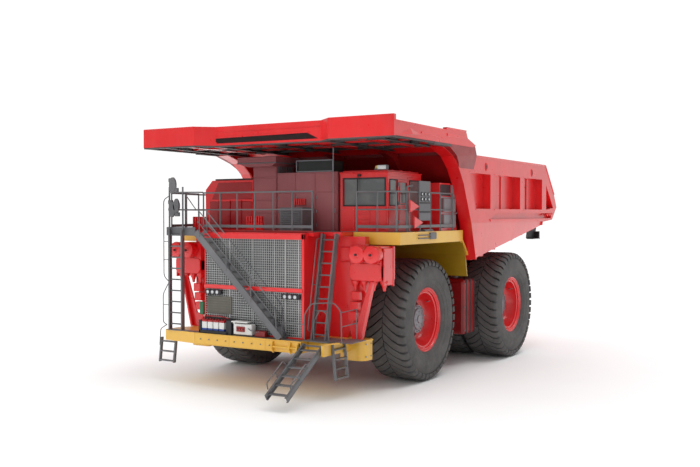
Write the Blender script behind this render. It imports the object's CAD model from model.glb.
"""Looks for the mining dump truck: camera, light, procedural materials and the detail around the fixed CAD frame.
Positions are metres in the row frame. Detail is written with y measured from the front axle and shifted by YO."""
import math

import bmesh
import bpy
import numpy as np
from mathutils import Matrix, Vector


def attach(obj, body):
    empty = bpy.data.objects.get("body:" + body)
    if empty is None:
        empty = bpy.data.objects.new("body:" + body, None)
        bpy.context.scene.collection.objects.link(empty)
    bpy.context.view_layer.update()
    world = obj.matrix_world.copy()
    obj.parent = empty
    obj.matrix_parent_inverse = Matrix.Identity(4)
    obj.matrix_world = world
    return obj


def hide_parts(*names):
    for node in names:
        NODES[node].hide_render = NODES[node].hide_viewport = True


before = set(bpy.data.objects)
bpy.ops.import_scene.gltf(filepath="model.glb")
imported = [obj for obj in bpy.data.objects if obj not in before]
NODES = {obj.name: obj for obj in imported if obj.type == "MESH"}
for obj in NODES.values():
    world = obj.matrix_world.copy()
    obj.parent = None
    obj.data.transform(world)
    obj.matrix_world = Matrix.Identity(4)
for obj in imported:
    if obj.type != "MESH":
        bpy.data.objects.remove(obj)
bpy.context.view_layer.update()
YO = -2.365                       # front axle's y in the row frame
scene = bpy.context.scene
scene.view_settings.view_transform = "Standard"

# ---------------------------------------------------------------- camera
cam_data = bpy.data.cameras.new("camera")
cam = bpy.data.objects.new("camera", cam_data)
scene.collection.objects.link(cam)
scene.camera = cam
cam.location = (17.005, -28.999, 5.504)
cam.rotation_euler = (math.radians(88.764), 0.0, math.radians(31.125))
cam_data.sensor_fit = "HORIZONTAL"
cam_data.sensor_width = 36.0
cam_data.lens = 46.03
cam_data.clip_end = 400.0

# ---------------------------------------------------------------- materials


def tree(name):
    mat = bpy.data.materials.new(name)
    mat.use_nodes = True
    nt = mat.node_tree
    nt.nodes.clear()
    out = nt.nodes.new("ShaderNodeOutputMaterial")
    bsdf = nt.nodes.new("ShaderNodeBsdfPrincipled")
    nt.links.new(bsdf.outputs[0], out.inputs[0])
    coord = nt.nodes.new("ShaderNodeTexCoord")
    return mat, nt, bsdf, coord.outputs["Object"]


def noise(nt, vec, scale, detail=5.0, rough=0.6, stretch=None):
    if stretch:
        mp = nt.nodes.new("ShaderNodeMapping")
        mp.inputs["Scale"].default_value = stretch
        nt.links.new(vec, mp.inputs["Vector"])
        vec = mp.outputs[0]
    n = nt.nodes.new("ShaderNodeTexNoise")
    n.inputs["Scale"].default_value = scale
    n.inputs["Detail"].default_value = detail
    n.inputs["Roughness"].default_value = rough
    nt.links.new(vec, n.inputs["Vector"])
    return n.outputs["Fac"]


def ramp(nt, fac, stops):
    r = nt.nodes.new("ShaderNodeValToRGB")
    e = r.color_ramp.elements
    while len(e) < len(stops):
        e.new(0.5)
    for k, (pos, v) in enumerate(stops):
        e[k].position = pos
        e[k].color = (*v, 1.0) if isinstance(v, tuple) else (v, v, v, 1.0)
    nt.links.new(fac, r.inputs[0])
    return r.outputs[0]


def mix(nt, fac, a, b, mode="MIX"):
    m = nt.nodes.new("ShaderNodeMix")
    m.data_type = "RGBA"
    m.blend_type = mode
    for sock, v in ((m.inputs[0], fac), (m.inputs[6], a), (m.inputs[7], b)):
        if isinstance(v, (int, float)):
            sock.default_value = v
        elif isinstance(v, tuple):
            sock.default_value = (*v, 1.0)
        else:
            nt.links.new(v, sock)
    return m.outputs[2]


def math_node(nt, op, a, b=0.0):
    m = nt.nodes.new("ShaderNodeMath")
    m.operation = op
    m.use_clamp = True
    for sock, v in ((m.inputs[0], a), (m.inputs[1], b)):
        if isinstance(v, (int, float)):
            sock.default_value = v
        else:
            nt.links.new(v, sock)
    return m.outputs[0]


def upness(nt):
    g = nt.nodes.new("ShaderNodeNewGeometry")
    s = nt.nodes.new("ShaderNodeSeparateXYZ")
    nt.links.new(g.outputs["Normal"], s.inputs[0])
    return s.outputs[2]


def bump(nt, bsdf, height, strength, distance):
    b = nt.nodes.new("ShaderNodeBump")
    b.inputs["Strength"].default_value = strength
    b.inputs["Distance"].default_value = distance
    nt.links.new(height, b.inputs["Height"])
    nt.links.new(b.outputs[0], bsdf.inputs["Normal"])


def srgb(r, g, b):
    def lin(v):
        v /= 255.0
        return v / 12.92 if v <= 0.04045 else ((v + 0.055) / 1.055) ** 2.4
    return (lin(r), lin(g), lin(b))


def paint(name, base, shade, dust, dusty=0.12, rough=(0.32, 0.5), metallic=0.0, coat=0.0, streaks=0.06, chips=None):
    """Sprayed steel: slow colour drift, faint runs down the sides, fine orange peel and dust lying on what faces up."""
    mat, nt, bsdf, vec = tree(name)
    drift = noise(nt, vec, 0.55, 6.0, 0.55)
    col = mix(nt, ramp(nt, drift, [(0.35, 0.0), (0.68, 1.0)]), base, shade)
    runs = noise(nt, vec, 1.0, 6.0, 0.6, (5.0, 5.0, 0.35))
    col = mix(nt, math_node(nt, "MULTIPLY", ramp(nt, runs, [(0.48, 0.0), (0.75, 1.0)]), streaks), col, dust)
    specks = noise(nt, vec, 38.0, 3.0, 0.7)
    up = upness(nt)
    settled = math_node(nt, "MULTIPLY", ramp(nt, up, [(0.35, 0.0), (0.95, 1.0)]), dusty)
    settled = math_node(nt, "MULTIPLY", settled, ramp(nt, noise(nt, vec, 2.3, 7.0, 0.7), [(0.3, 0.35), (0.7, 1.0)]))
    col = mix(nt, settled, col, dust)
    if chips:
        worn = ramp(nt, noise(nt, vec, 7.0, 9.0, 0.75), [(0.70, 0.0), (0.735, 1.0)])
        col = mix(nt, math_node(nt, "MULTIPLY", worn, 0.75), col, chips)
    col = mix(nt, ramp(nt, specks, [(0.62, 0.0), (0.85, 0.22)]), col, shade)
    nt.links.new(col, bsdf.inputs["Base Color"])
    nt.links.new(ramp(nt, noise(nt, vec, 3.1, 6.0, 0.65), [(0.3, rough[0]), (0.7, rough[1])]), bsdf.inputs["Roughness"])
    bsdf.inputs["Metallic"].default_value = metallic
    if coat:
        bsdf.inputs["Coat Weight"].default_value = coat
        bsdf.inputs["Coat Roughness"].default_value = 0.22
    wave = noise(nt, vec, 60.0, 2.0, 0.5)
    bump(nt, bsdf, mix(nt, 0.4, wave, noise(nt, vec, 1.6, 3.0, 0.5)), 0.25, 0.006)
    return mat


DUST = srgb(176, 160, 148)
RED = paint("paint_red", srgb(236, 22, 28), srgb(220, 16, 22), srgb(226, 120, 116), dusty=0.10, rough=(0.26, 0.38), coat=0.9)
RED_DULL = paint("paint_red_dull", srgb(160, 84, 88), srgb(142, 70, 74), srgb(186, 150, 145), dusty=0.12, rough=(0.36, 0.5), coat=0.3)
RED_DARK = paint("paint_red_dark", srgb(160, 12, 16), srgb(126, 8, 12), srgb(160, 80, 76), dusty=0.06, rough=(0.35, 0.5), coat=0.2)
YELLOW = paint("paint_yellow", srgb(234, 186, 70), srgb(222, 168, 50), srgb(226, 200, 150), dusty=0.12, rough=(0.32, 0.46), coat=0.5, chips=srgb(170, 130, 60))
OLIVE = paint("paint_yellow_shade", srgb(176, 140, 20), srgb(140, 108, 10), srgb(170, 150, 90), dusty=0.1, rough=(0.35, 0.5), coat=0.3)
GREY = paint("paint_grey", srgb(118, 118, 120), srgb(98, 98, 102), srgb(150, 146, 140), dusty=0.15, rough=(0.4, 0.55), metallic=0.2)
STEEL = paint("galvanised", srgb(150, 150, 154), srgb(122, 122, 128), srgb(165, 160, 152), dusty=0.12, rough=(0.35, 0.5), metallic=0.5)
DARK = paint("paint_dark", srgb(48, 48, 52), srgb(32, 32, 36), srgb(100, 94, 90), dusty=0.18, rough=(0.42, 0.6))
IRON = paint("engine_iron", srgb(62, 64, 62), srgb(40, 42, 40), srgb(100, 94, 88), dusty=0.15, rough=(0.45, 0.65), metallic=0.3)
CHROME = paint("rod_steel", srgb(205, 205, 210), srgb(186, 186, 192), srgb(190, 186, 180), dusty=0.04, rough=(0.12, 0.22), metallic=1.0, streaks=0.02)
WHITE = paint("paint_white", srgb(226, 226, 224), srgb(210, 210, 208), srgb(196, 188, 178), dusty=0.12, rough=(0.35, 0.5))
VINYL = paint("seat_vinyl", srgb(40, 42, 48), srgb(28, 30, 34), srgb(80, 78, 76), dusty=0.08, rough=(0.55, 0.7), streaks=0.03)


def rubber_material():
    mat, nt, bsdf, vec = tree("tyre_rubber")
    col = mix(nt, ramp(nt, noise(nt, vec, 1.7, 7.0, 0.65), [(0.35, 0.0), (0.7, 1.0)]), srgb(74, 73, 73), srgb(94, 92, 91))
    col = mix(nt, ramp(nt, noise(nt, vec, 14.0, 8.0, 0.7), [(0.5, 0.0), (0.8, 0.5)]), col, srgb(112, 104, 98))
    nt.links.new(col, bsdf.inputs["Base Color"])
    nt.links.new(ramp(nt, noise(nt, vec, 5.0, 6.0, 0.6), [(0.3, 0.62), (0.7, 0.82)]), bsdf.inputs["Roughness"])
    bump(nt, bsdf, noise(nt, vec, 45.0, 6.0, 0.7), 0.35, 0.01)
    return mat


def glass_material():
    mat, nt, bsdf, vec = tree("window_glass")
    col = mix(nt, ramp(nt, noise(nt, vec, 2.0, 6.0, 0.6), [(0.4, 0.0), (0.8, 1.0)]), srgb(104, 108, 108), srgb(126, 128, 126))
    nt.links.new(col, bsdf.inputs["Base Color"])
    nt.links.new(ramp(nt, noise(nt, vec, 6.0, 6.0, 0.7), [(0.3, 0.04), (0.75, 0.16)]), bsdf.inputs["Roughness"])
    bsdf.inputs["Specular IOR Level"].default_value = 0.7
    bsdf.inputs["Coat Weight"].default_value = 0.4
    return mat


def lamp_material(name, rgb):
    mat, nt, bsdf, vec = tree(name)
    col = mix(nt, ramp(nt, noise(nt, vec, 30.0, 3.0, 0.5), [(0.3, 0.0), (0.7, 1.0)]), rgb, tuple(v * 0.8 for v in rgb))
    nt.links.new(col, bsdf.inputs["Base Color"])
    nt.links.new(ramp(nt, noise(nt, vec, 12.0, 3.0, 0.5), [(0.3, 0.08), (0.7, 0.2)]), bsdf.inputs["Roughness"])
    bsdf.inputs["Coat Weight"].default_value = 0.6
    return mat


RUBBER = rubber_material()
GLASS = glass_material()
LAMP = lamp_material("lamp_clear", srgb(225, 228, 230))
LAMP_RED = lamp_material("lamp_red", srgb(190, 20, 16))
BLUE = paint("cap_blue", srgb(40, 70, 150), srgb(30, 56, 130), srgb(120, 120, 130), dusty=0.1)
GREEN = paint("hose_green", srgb(40, 120, 80), srgb(30, 96, 62), srgb(110, 120, 110), dusty=0.2)

BY_NAME = [
    ("headboard", RED_DARK),
    ("tyre", RUBBER), ("rim", RED), ("glass", GLASS), ("window", GLASS), ("windscreen", GLASS),
    ("front_bumper", YELLOW), ("deck_fascia", YELLOW), ("hoist_rod", CHROME), ("hoist_barrel", DARK),
    ("handrail", GREY), ("ladder", GREY), ("diagonal", GREY), ("swing_stair", GREY), ("engine", IRON),
    ("driver_seat", VINYL), ("radiator_grille", IRON), ("battery", DARK), ("knuckle", DARK), ("tie_rod", DARK),
    ("axle", DARK), ("mudguard", OLIVE), ("vent_tower", RED_DULL), ("control_cabinet", RED_DULL), ("tank", RED_DARK)]
for name, ob in NODES.items():
    mat = next((m for key, m in BY_NAME if key in name), RED)
    ob.data.materials.clear()
    ob.data.materials.append(mat)
    for p in ob.data.polygons:
        p.material_index = 0

# ---------------------------------------------------------------- mesh kit


class Kit:
    """Gathers closed pieces of detail into one mesh, then makes it a piece that rides on a body."""

    def __init__(self):
        self.verts, self.faces, self.smooth = [], [], []

    def add(self, verts, faces, smooth=False):
        base = len(self.verts)
        self.verts += [tuple(v) for v in verts]
        self.faces += [tuple(base + i for i in f) for f in faces]
        self.smooth += [smooth] * len(faces)
        return self

    def box(self, x0, x1, y0, y1, z0, z1, b=0.008):
        """A block with chamfered edges."""
        x0, x1 = sorted((x0, x1)); y0, y1 = sorted((y0, y1)); z0, z1 = sorted((z0, z1))
        b = min(b, (x1 - x0) * 0.3, (y1 - y0) * 0.3, (z1 - z0) * 0.3)
        bm = bmesh.new()
        bmesh.ops.create_cube(bm, size=1.0)
        for v in bm.verts:
            v.co = ((x0 + x1) / 2 + v.co.x * (x1 - x0), (y0 + y1) / 2 + v.co.y * (y1 - y0), (z0 + z1) / 2 + v.co.z * (z1 - z0))
        if b > 0:
            bmesh.ops.bevel(bm, geom=bm.edges[:], offset=b, segments=1, affect="EDGES")
        return self.take(bm)

    def take(self, bm, matrix=None, smooth=False):
        bm.verts.index_update()
        verts = [(matrix @ v.co) if matrix else v.co.copy() for v in bm.verts]
        self.add(verts, [[v.index for v in f.verts] for f in bm.faces], smooth)
        bm.free()
        return self

    def plate(self, plane, outline, t0, t1, b=0.0):
        """An extruded outline in plane xy, yz or xz."""
        t0, t1 = sorted((t0, t1))
        n = len(outline)
        area = sum(outline[i][0] * outline[(i + 1) % n][1] - outline[(i + 1) % n][0] * outline[i][1] for i in range(n))
        pts = list(outline) if area > 0 else list(outline)[::-1]
        place = {"xy": lambda a, c, t: (a, c, t), "yz": lambda a, c, t: (t, a, c), "xz": lambda a, c, t: (a, t, c)}[plane]
        low, high = [place(a, c, t0) for a, c in pts], [place(a, c, t1) for a, c in pts]
        flip = plane == "xz"
        sides = [(i, (i + 1) % n, n + (i + 1) % n, n + i) for i in range(n)]
        faces = [tuple(range(n))[::-1], tuple(range(n, 2 * n))] + sides
        if flip:
            faces = [f[::-1] for f in faces]
        if b:
            bm = bmesh.new()
            vs = [bm.verts.new(v) for v in low + high]
            for f in faces:
                bm.faces.new([vs[i] for i in f])
            bmesh.ops.bevel(bm, geom=bm.edges[:], offset=b, segments=1, affect="EDGES")
            return self.take(bm)
        return self.add(low + high, faces)

    def rod(self, p0, p1, r, sides=12, r2=None, smooth=True):
        """A round bar between two points."""
        p0, p1 = Vector(p0), Vector(p1)
        r2 = r if r2 is None else r2
        d = (p1 - p0).normalized()
        u = d.orthogonal().normalized()
        w = d.cross(u)
        ring = [(math.cos(2 * math.pi * i / sides), math.sin(2 * math.pi * i / sides)) for i in range(sides)]
        low = [p0 + (u * c + w * s) * r for c, s in ring]
        high = [p1 + (u * c + w * s) * r2 for c, s in ring]
        self.add(low + high, [(i, (i + 1) % sides, sides + (i + 1) % sides, sides + i) for i in range(sides)], smooth)
        base = len(self.verts) - 2 * sides
        self.faces += [tuple(base + i for i in range(sides))[::-1], tuple(base + sides + i for i in range(sides))]
        self.smooth += [False, False]
        return self

    def tube(self, points, r, sides=10, closed=False):
        """A bent tube along points, mitred at its corners."""
        pts = [Vector(p) for p in points]
        n = len(pts)
        rings = []
        up = None
        for k in range(n):
            if closed:
                a, c = (pts[k] - pts[k - 1]).normalized(), (pts[(k + 1) % n] - pts[k]).normalized()
            else:
                a = (pts[k] - pts[k - 1]).normalized() if k else (pts[1] - pts[0]).normalized()
                c = (pts[k + 1] - pts[k]).normalized() if k < n - 1 else a
            t = (a + c)
            t = t.normalized() if t.length > 1e-6 else a
            if up is None:
                up = t.orthogonal().normalized()
            up = (up - t * up.dot(t))
            up = up.normalized() if up.length > 1e-6 else t.orthogonal().normalized()
            w = t.cross(up)
            stretch = 1.0 / max(0.35, t.dot(a))
            bend = (c - a)
            bend = bend.normalized() if bend.length > 1e-4 else None
            ring = []
            for i in range(sides):
                ang = 2 * math.pi * i / sides
                off = (up * math.cos(ang) + w * math.sin(ang)) * r
                if bend is not None:
                    off += bend * off.dot(bend) * (stretch - 1.0)
                ring.append(pts[k] + off)
            rings.append(ring)
        verts = [v for ring in rings for v in ring]
        faces = []
        for k in range(n if closed else n - 1):
            m = (k + 1) % n
            faces += [(k * sides + i, k * sides + (i + 1) % sides, m * sides + (i + 1) % sides, m * sides + i) for i in range(sides)]
        self.add(verts, faces, True)
        if not closed:
            base = len(self.verts) - len(verts)
            self.faces += [tuple(base + i for i in range(sides))[::-1],
                           tuple(base + (n - 1) * sides + i for i in range(sides))]
            self.smooth += [False, False]
        return self

    def turned(self, profile, centre, axis="x", steps=48, closed=True, smooth=True, a0=0.0, a1=2 * math.pi):
        """A profile of (along, radius) spun round an axis through centre. A closed profile makes a ring."""
        cx, cy, cz = centre
        full = abs(a1 - a0 - 2 * math.pi) < 1e-6
        count = steps if full else steps + 1
        n = len(profile)
        verts = []
        for k in range(count):
            a = a0 + (a1 - a0) * k / steps
            c, s = math.cos(a), math.sin(a)
            for t, r in profile:
                verts.append({"x": (cx + t, cy + r * c, cz + r * s), "y": (cx + r * s, cy + t, cz + r * c),
                              "z": (cx + r * c, cy + r * s, cz + t)}[axis])
        faces = []
        for k in range(steps):
            m = (k + 1) % count
            for i in range(n if closed else n - 1):
                j = (i + 1) % n
                faces.append((k * n + i, k * n + j, m * n + j, m * n + i))
        if not full and closed:
            faces += [tuple(range(n))[::-1], tuple((count - 1) * n + i for i in range(n))]
        return self.add(verts, faces, smooth)

    def bolts(self, points, axis, r, h, sides=6):
        """Hexagon heads standing h out along axis, which is a direction."""
        d = Vector(axis).normalized()
        for p in points:
            p = Vector(p)
            self.rod(p - d * 0.01, p + d * h, r, sides, smooth=False)
        return self

    def moved(self, matrix):
        self.verts = [tuple(matrix @ Vector(v)) for v in self.verts]
        return self

    def mirrored(self):
        """The same piece on the other side of the truck."""
        other = Kit()
        other.add([(-x, y, z) for x, y, z in self.verts], [f[::-1] for f in self.faces])
        other.smooth = list(self.smooth)
        return other

    def done(self, name, mat, body, slot=None, replaces=(), bevel=0.0):
        me = bpy.data.meshes.new(name)
        me.from_pydata([(x, y + YO, z) for x, y, z in self.verts], [], self.faces)
        me.update()
        bm = bmesh.new()
        bm.from_mesh(me)
        bmesh.ops.recalc_face_normals(bm, faces=bm.faces[:])
        bm.to_mesh(me)
        bm.free()
        for p, s in zip(me.polygons, self.smooth):
            p.use_smooth = s
        ob = bpy.data.objects.new(name, me)
        scene.collection.objects.link(ob)
        me.materials.append(mat)
        if any(self.smooth):
            try:
                me.set_sharp_from_angle(angle=math.radians(38))
            except Exception:
                pass
        if bevel:
            mod = ob.modifiers.new("edge", "BEVEL")
            mod.width = bevel
            mod.segments = 1
            mod.limit_method = "ANGLE"
            mod.angle_limit = math.radians(40)
        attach(ob, body)
        if replaces:
            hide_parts(*replaces)
        return ob


TYRE_R, TYRE_W, RIM_R, HUB_Z = 2.015, 1.47, 1.035, 2.015
WHEELBASE = 6.29


def tyre(name, x, y, body, node):
    """A rock tyre: bulged walls with rings, and two rows of deep skewed blocks over the shoulders."""
    h = TYRE_W / 2
    k = Kit()
    half = [(0.50, RIM_R), (0.60, 1.075), (0.655, 1.14), (0.665, 1.17), (0.69, 1.19), (0.712, 1.34), (0.720, 1.345),
            (0.724, 1.37), (0.720, 1.375), (0.730, 1.50), (0.727, 1.60), (0.712, 1.70), (0.690, 1.775), (0.655, 1.835),
            (0.60, 1.875), (0.45, 1.905), (0.15, 1.915)]
    outer = [(s * h / 0.735, r) for s, r in half]
    ring = outer + [(-a, r) for a, r in reversed(outer)]
    lining = [(-0.46, 1.12), (-0.60, 1.45), (-0.5, 1.76), (0.5, 1.76), (0.60, 1.45), (0.46, 1.12)]
    k.turned(ring + lining, (x, y, HUB_Z), steps=96)
    count = 42
    # the tread's blocks close up over the crown, so the grooves between them are narrow slanted cuts
    block = [(0.012, 1.88), (0.012, 2.013), (0.30, 2.014), (0.52, 2.006), (0.640, 1.985), (0.712, 1.925), (0.734, 1.85),
             (0.716, 1.79), (0.62, 1.80), (0.40, 1.86)]
    pitch = 2 * math.pi / count
    for side in (-1, 1):
        for i in range(count):
            mid = pitch * (i + (0.5 if side > 0 else 0.0))
            verts, n = [], len(block)
            for e in (-1, 1):
                for t, r in block:
                    share = 0.86 - 0.16 * min(1.0, max(0.0, (t - 0.30) / 0.4))
                    a = mid + pitch * 0.5 * e * share + 0.42 * (t - 0.1) - 0.30 * max(0.0, t - 0.45)
                    verts.append((x + side * t, y + r * math.cos(a), HUB_Z + r * math.sin(a)))
            faces = [tuple(range(n))[::-1], tuple(range(n, 2 * n))]
            faces += [(j, (j + 1) % n, n + (j + 1) % n, n + j) for j in range(n)]
            k.add(verts, faces)
    return k.done(name, RUBBER, body, "tyre_rubber", [node], bevel=0.010)


for s, side in ((1, "left"), (-1, "right")):
    tyre("tyre_tread_front_" + side, s * 3.315, 0.0, "wheel_front_" + side, "tyre_front_" + side)
    tyre("tyre_tread_rear_outer_" + side, s * 3.85, WHEELBASE, "wheels_rear_" + side, "tyre_rear_outer_" + side)
    tyre("tyre_tread_rear_inner_" + side, s * 2.25, WHEELBASE, "wheels_rear_" + side, "tyre_rear_inner_" + side)

# ---------------------------------------------------------------- rims and hubs


def rim(name, x, y, s, body, node, deep):
    """Red rim with a rolled flange and lock rings, and a dish that runs in to the bolted hub."""
    k = Kit()
    h = 0.50
    face = [(-h, 0.93), (-h, RIM_R + 0.02), (-h + 0.04, RIM_R - 0.004), (h - 0.16, RIM_R - 0.004), (h - 0.02, RIM_R + 0.035),
            (h + 0.055, RIM_R + 0.045), (h + 0.075, RIM_R + 0.02), (h + 0.06, RIM_R - 0.01), (h + 0.02, RIM_R - 0.03),
            (h + 0.035, RIM_R - 0.05), (h + 0.02, RIM_R - 0.075), (h - 0.03, RIM_R - 0.085), (h - 0.05, RIM_R - 0.11),
            (h - 0.02, RIM_R - 0.125), (h - 0.03, RIM_R - 0.155), (h - 0.12, RIM_R - 0.165),
            (h - 0.34, 0.80), (h - 0.46, 0.74), (h - 0.50, 0.66), (h - 0.60, 0.64), (h - 0.60, 0.76), (h - 0.42, 0.93)]
    k.turned([(s * t, r) for t, r in face], (x, y, HUB_Z), steps=80)
    ob = k.done(name, RED, body, "red_paint", [node])
    d = Kit()
    bolts = 24
    d.turned([(s * (h - 0.63), 0.30), (s * (h - 0.63), 0.70), (s * (h - 0.575), 0.72), (s * (h - 0.55), 0.70), (s * (h - 0.55), 0.55),
              (s * (h - 0.50), 0.53), (s * (h - 0.50), 0.30)], (x, y, HUB_Z), steps=64)
    for i in range(bolts):
        a = 2 * math.pi * i / bolts
        p = (x + s * (h - 0.55), y + 0.645 * math.cos(a), HUB_Z + 0.645 * math.sin(a))
        d.rod(p, (p[0] + s * 0.05, p[1], p[2]), 0.030, 6, smooth=False)
        d.rod((p[0] + s * 0.045, p[1], p[2]), (p[0] + s * 0.075, p[1], p[2]), 0.016, 8)
    out = h - 0.50 + deep
    d.turned([(s * (h - 0.52), 0.0), (s * (h - 0.52), 0.50), (s * (out - 0.08), 0.48), (s * (out - 0.05), 0.46), (s * (out - 0.05), 0.36),
              (s * (out - 0.01), 0.35), (s * out, 0.33), (s * out, 0.14), (s * (out + 0.025), 0.13), (s * (out + 0.025), 0.0)],
             (x, y, HUB_Z), steps=56, closed=False)
    for i in range(16):
        a = 2 * math.pi * (i + 0.5) / 16
        p = (x + s * (out - 0.05), y + 0.415 * math.cos(a), HUB_Z + 0.415 * math.sin(a))
        d.rod(p, (p[0] + s * 0.035, p[1], p[2]), 0.022, 6, smooth=False)
    for i in range(8):
        a = 2 * math.pi * i / 8
        p = (x + s * out, y + 0.25 * math.cos(a), HUB_Z + 0.25 * math.sin(a))
        d.rod((p[0] - s * 0.005, p[1], p[2]), (p[0] + s * 0.022, p[1], p[2]), 0.018, 6, smooth=False)
    # radial webs between the hub and the bolt ring
    for i in range(12):
        a = 2 * math.pi * (i + 0.5) / 12
        c, n = math.cos(a), math.sin(a)
        p0 = Vector((x + s * (h - 0.53), y + 0.50 * c, HUB_Z + 0.50 * n))
        p1 = Vector((x + s * (h - 0.53), y + 0.60 * c, HUB_Z + 0.60 * n))
        d.rod(p0, p1, 0.018, 6, smooth=False)
    hub = d.done(name + "_hub", STEEL, body, "grey_steel")
    v = Kit()
    for turn_ in (0.7, 0.7 + math.pi):
        c, n = math.cos(turn_), math.sin(turn_)
        p = (x + s * (h - 0.30), y + 0.83 * c, HUB_Z + 0.83 * n)
        v.tube([p, (p[0] + s * 0.10, p[1] - 0.02 * c, p[2] - 0.02 * n), (p[0] + s * 0.18, y + 0.87 * c, HUB_Z + 0.87 * n)], 0.014, 8)
    v.done(name + "_valve", STEEL, body, "grey_steel")
    return ob


for s, side in ((1, "left"), (-1, "right")):
    rim("rim_front_dish_" + side, s * 3.315, 0.0, s, "wheel_front_" + side, "rim_front_" + side, 0.30)
    rim("rim_rear_dish_" + side, s * 3.85, WHEELBASE, s, "wheels_rear_" + side, "rim_rear_" + side, 0.22)

# ---------------------------------------------------------------- rails, ladders and stairs


def path_points(path, z):
    return [(x, y, z) for x, y in path]


def guard_rail(name, path, stands, replaces, levels=(5.12, 5.65, 6.20), foot=4.95, r=0.026):
    """Round tube rails with kick plate, stands with feet and rounded corners."""
    k = Kit()
    for n, z in enumerate(levels):
        if n == 0:
            for (x0, y0), (x1, y1) in zip(path[:-1], path[1:]):
                if abs(x1 - x0) > abs(y1 - y0):
                    k.box(x0, x1, y0 - 0.006, y0 + 0.006, z - 0.045, z + 0.045, 0.002)
                else:
                    k.box(x0 - 0.006, x0 + 0.006, y0, y1, z - 0.045, z + 0.045, 0.002)
            continue
        pts = path_points(path, z)
        k.tube(soften(pts, 0.12), r if n == len(levels) - 1 else r * 0.85, 10)
    for x, y in stands:
        k.rod((x, y, foot), (x, y, levels[-1]), r * 0.95, 10)
        k.box(x - 0.06, x + 0.06, y - 0.05, y + 0.05, foot - 0.004, foot + 0.014, 0.003)
        k.bolts([(x - 0.04, y - 0.03, foot + 0.012), (x + 0.04, y + 0.03, foot + 0.012)], (0, 0, 1), 0.010, 0.01)
    return k.done(name, DARK_RAIL, "chassis", "grey_steel", replaces)


def soften(pts, r, steps=4):
    """Rounds the corners of a line of points."""
    out = [Vector(pts[0])]
    for a, b, c in zip(pts[:-2], pts[1:-1], pts[2:]):
        a, b, c = Vector(a), Vector(b), Vector(c)
        u, v = (a - b), (c - b)
        d = min(r, u.length * 0.45, v.length * 0.45)
        p, q = b + u.normalized() * d, b + v.normalized() * d
        for i in range(steps + 1):
            t = i / steps
            out.append(p * (1 - t) ** 2 + b * 2 * t * (1 - t) + q * t * t)
    out.append(Vector(pts[-1]))
    return out


DARK_RAIL = paint("paint_rail", srgb(124, 124, 126), srgb(100, 100, 104), srgb(140, 136, 130), dusty=0.15, rough=(0.38, 0.52), metallic=0.25, streaks=0.08)

guard_rail("rail_front", [(-2.34, -3.94), (1.98, -3.94)], [(-2.32, -3.94), (-1.62, -3.94), (-0.92, -3.94), (-0.22, -3.94),
           (0.50, -3.94), (1.22, -3.94), (1.96, -3.94)], ["handrail_front"])
guard_rail("rail_left", [(2.76, -2.64), (4.24, -2.64), (4.24, 1.28)], [(2.76, -2.64), (3.50, -2.64), (4.16, -2.64),
           (4.24, -1.95), (4.24, -1.20), (4.24, -0.45), (4.24, 0.30), (4.24, 1.26)], ["handrail_left"])
guard_rail("rail_right", [(-3.58, -4.10), (-3.58, -2.64), (-4.24, -2.64), (-4.24, 1.28)],
           [(-3.58, -4.08), (-3.58, -3.40), (-3.58, -2.72), (-4.20, -2.64), (-4.24, -1.95), (-4.24, -1.20), (-4.24, -0.45),
            (-4.24, 0.30), (-4.24, 1.26)], ["handrail_right"])


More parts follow.
